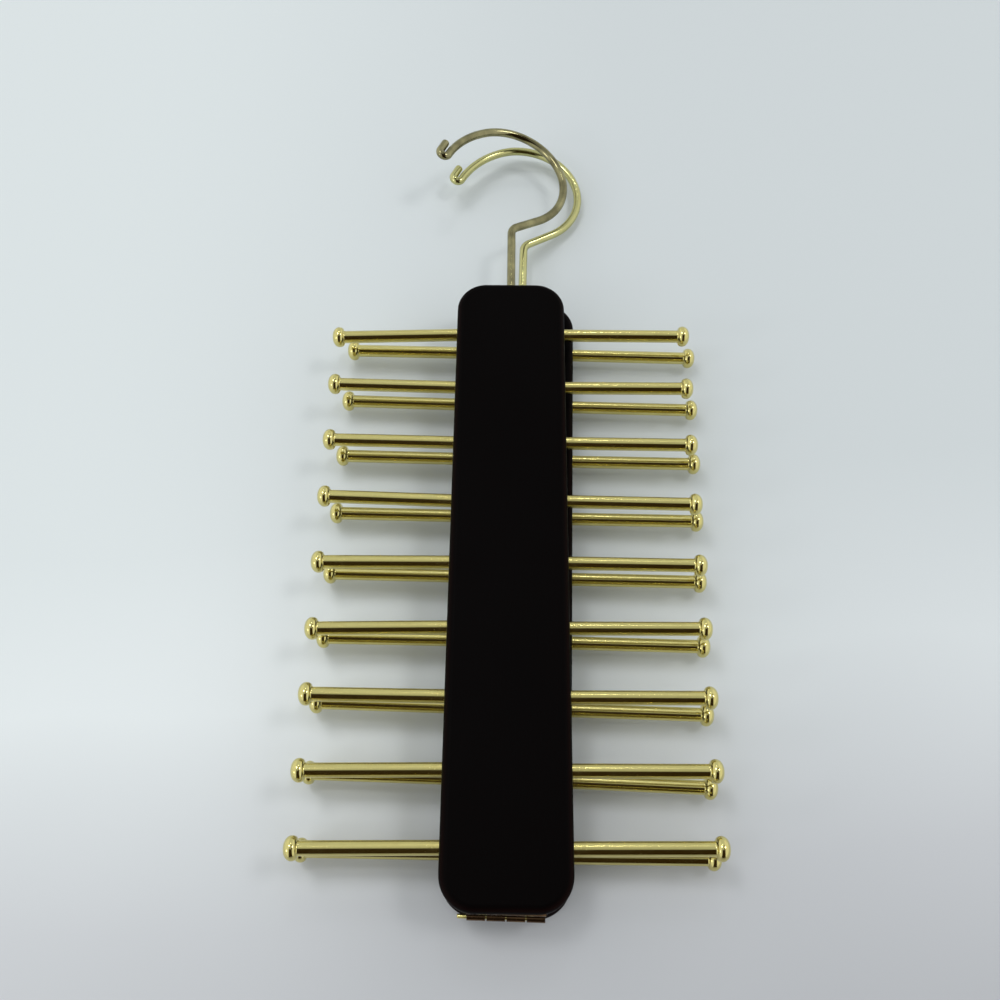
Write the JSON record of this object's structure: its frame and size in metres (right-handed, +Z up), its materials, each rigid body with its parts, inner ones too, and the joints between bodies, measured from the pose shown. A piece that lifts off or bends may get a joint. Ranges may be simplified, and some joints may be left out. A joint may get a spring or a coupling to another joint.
{
  "type": "tie hanger",
  "caption": "Folding tie hanger: two hinged wooden boards with rows of brass pegs and swivel wire hooks.",
  "frame": {"origin": "centre of the rear board's underside, the face that it lies on", "axes": "+X across the boards to the right, +Y along them to the hooks, +Z up from the rear board to the front board"},
  "size_m": [0.1529, 0.3392, 0.0302],
  "materials": {
    "dark_board": "satin lacquer",
    "peg_brass": "polished",
    "hook_brass": "polished",
    "hinge_brass": "tumbled",
    "bush_steel": "turned"
  },
  "bodies": {
    "rear_board": {"board_rear": "dark_board", "hinge_leaf_rear": "hinge_brass", "hinge_pin": "hinge_brass", "hook_bush_rear": "bush_steel", "leaf_screws_rear": "hinge_brass", "peg_rear_left_1": "peg_brass", "peg_rear_left_2": "peg_brass", "peg_rear_left_3": "peg_brass", "peg_rear_left_4": "peg_brass", "peg_rear_left_5": "peg_brass", "peg_rear_left_6": "peg_brass", "peg_rear_left_7": "peg_brass", "peg_rear_left_8": "peg_brass", "peg_rear_left_9": "peg_brass", "peg_rear_right_1": "peg_brass", "peg_rear_right_2": "peg_brass", "peg_rear_right_3": "peg_brass", "peg_rear_right_4": "peg_brass", "peg_rear_right_5": "peg_brass", "peg_rear_right_6": "peg_brass", "peg_rear_right_7": "peg_brass", "peg_rear_right_8": "peg_brass", "peg_rear_right_9": "peg_brass"},
    "front_board": {"board_front": "dark_board", "hinge_leaf_front": "hinge_brass", "hook_bush_front": "bush_steel", "leaf_screws_front": "hinge_brass", "peg_front_left_1": "peg_brass", "peg_front_left_2": "peg_brass", "peg_front_left_3": "peg_brass", "peg_front_left_4": "peg_brass", "peg_front_left_5": "peg_brass", "peg_front_left_6": "peg_brass", "peg_front_left_7": "peg_brass", "peg_front_left_8": "peg_brass", "peg_front_left_9": "peg_brass", "peg_front_right_1": "peg_brass", "peg_front_right_2": "peg_brass", "peg_front_right_3": "peg_brass", "peg_front_right_4": "peg_brass", "peg_front_right_5": "peg_brass", "peg_front_right_6": "peg_brass", "peg_front_right_7": "peg_brass", "peg_front_right_8": "peg_brass", "peg_front_right_9": "peg_brass"},
    "rear_hook": {"hook_rear": "hook_brass"},
    "front_hook": {"hook_front": "hook_brass"}
  },
  "joints": [
    {"name": "fold", "type": "hinge", "parent": "rear_board", "child": "front_board", "pos_m": [0.00035, -0.12285, 0.01435], "axis": [1, 0, 0], "range_deg": [0, 180]},
    {"name": "swivel_rear", "type": "hinge", "parent": "rear_board", "child": "rear_hook", "pos_m": [0, 0.123, 0.00635], "axis": [0, 1, 0], "range_deg": [-25, 15]},
    {"name": "swivel_front", "type": "hinge", "parent": "front_board", "child": "front_hook", "pos_m": [-0.0048, 0.12365, 0.01945], "axis": [-0.0209, 0.9997, -0.0118], "range_deg": [-10, 30]}
  ]
}
